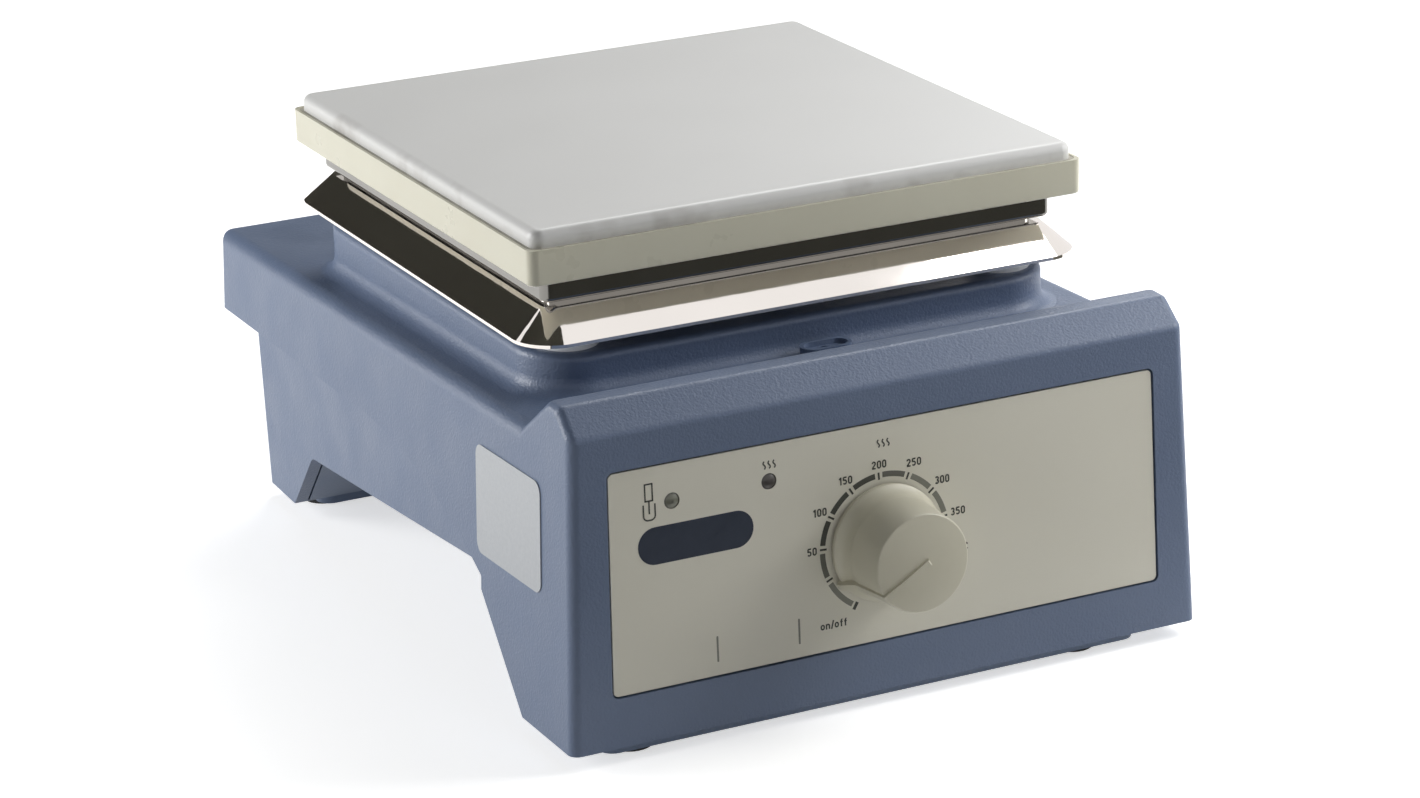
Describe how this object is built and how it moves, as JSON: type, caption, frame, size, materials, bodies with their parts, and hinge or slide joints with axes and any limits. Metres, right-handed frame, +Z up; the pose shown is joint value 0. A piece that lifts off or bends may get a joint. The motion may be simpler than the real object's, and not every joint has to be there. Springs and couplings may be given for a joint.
{
  "type": "laboratory hot plate",
  "caption": "Square white ceramic hot plate in a cream frame over a blue-grey cast casing, with a heat knob, dial and lamps on its front fascia.",
  "frame": {"origin": "under the middle of the whole object, on the bench", "axes": "+Z up, -Y the fascia side, +X to the right when facing the fascia"},
  "size_m": [0.1714, 0.2466, 0.1198],
  "materials": {
    "casing_paint": "satin",
    "tray_paint": "satin",
    "white_ceramic": "gloss",
    "cream_enamel": "satin",
    "seal_compound": "matte",
    "pan_steel": "satin",
    "polished_steel": "polished",
    "bare_aluminium": "satin",
    "zinc_steel": "satin",
    "brass": "satin",
    "fascia_film": "satin",
    "knob_plastic": "satin",
    "lamp_grey": "gloss",
    "lamp_red": "gloss",
    "black_rubber": "matte",
    "black_plastic": "matte",
    "board_laminate": "satin",
    "mineral_board": "matte",
    "insulation_felt": "matte",
    "lead_sleeve": "matte",
    "steatite": "matte",
    "core_steel": "satin",
    "silver_label": "satin",
    "dial_ink": "matte",
    "navy_ink": "matte"
  },
  "bodies": {
    "base": {"casing": "casing_paint", "base_tray": "tray_paint", "rubber_feet": "black_rubber", "foot_screws": "zinc_steel", "ceramic_plate": "white_ceramic", "plate_seal": "seal_compound", "plate_frame": "cream_enamel", "heater_pan": "pan_steel", "heating_element": "mineral_board", "insulation_pad": "insulation_felt", "element_terminals": "brass", "temperature_sensor": "zinc_steel", "heater_leads": "lead_sleeve", "lead_grommet": "black_rubber", "heat_shield": "polished_steel", "plate_spacers": "bare_aluminium", "plate_studs": "zinc_steel", "stud_washers": "zinc_steel", "stud_nuts": "zinc_steel", "fascia_panel": "fascia_film", "power_lamp_lens": "lamp_grey", "hot_lamp_lens": "lamp_red", "lamp_leds": "black_plastic", "control_board": "board_laminate", "board_standoffs": "brass", "board_screws": "zinc_steel", "heat_control": "zinc_steel", "control_washer": "zinc_steel", "control_nut": "zinc_steel", "heat_sink": "bare_aluminium", "triac": "black_plastic", "transformer": "core_steel", "terminal_block": "steatite", "earth_stud": "brass", "earth_nut": "brass", "mains_inlet": "black_plastic", "inlet_pins": "brass", "inlet_screws": "zinc_steel", "probe_socket": "bare_aluminium", "probe_nut": "zinc_steel", "rod_socket": "zinc_steel", "side_label": "silver_label"},
    "knob": {"control_knob": "knob_plastic", "knob_insert": "brass", "control_shaft": "brass"}
  },
  "joints": [
    {"name": "knob_turn", "type": "hinge", "parent": "base", "child": "knob", "pos_m": [-0.00155, -0.10286, 0.0414], "axis": [0, -0.9996, 0.0297], "range_deg": [-201.5, 27.2]}
  ]
}
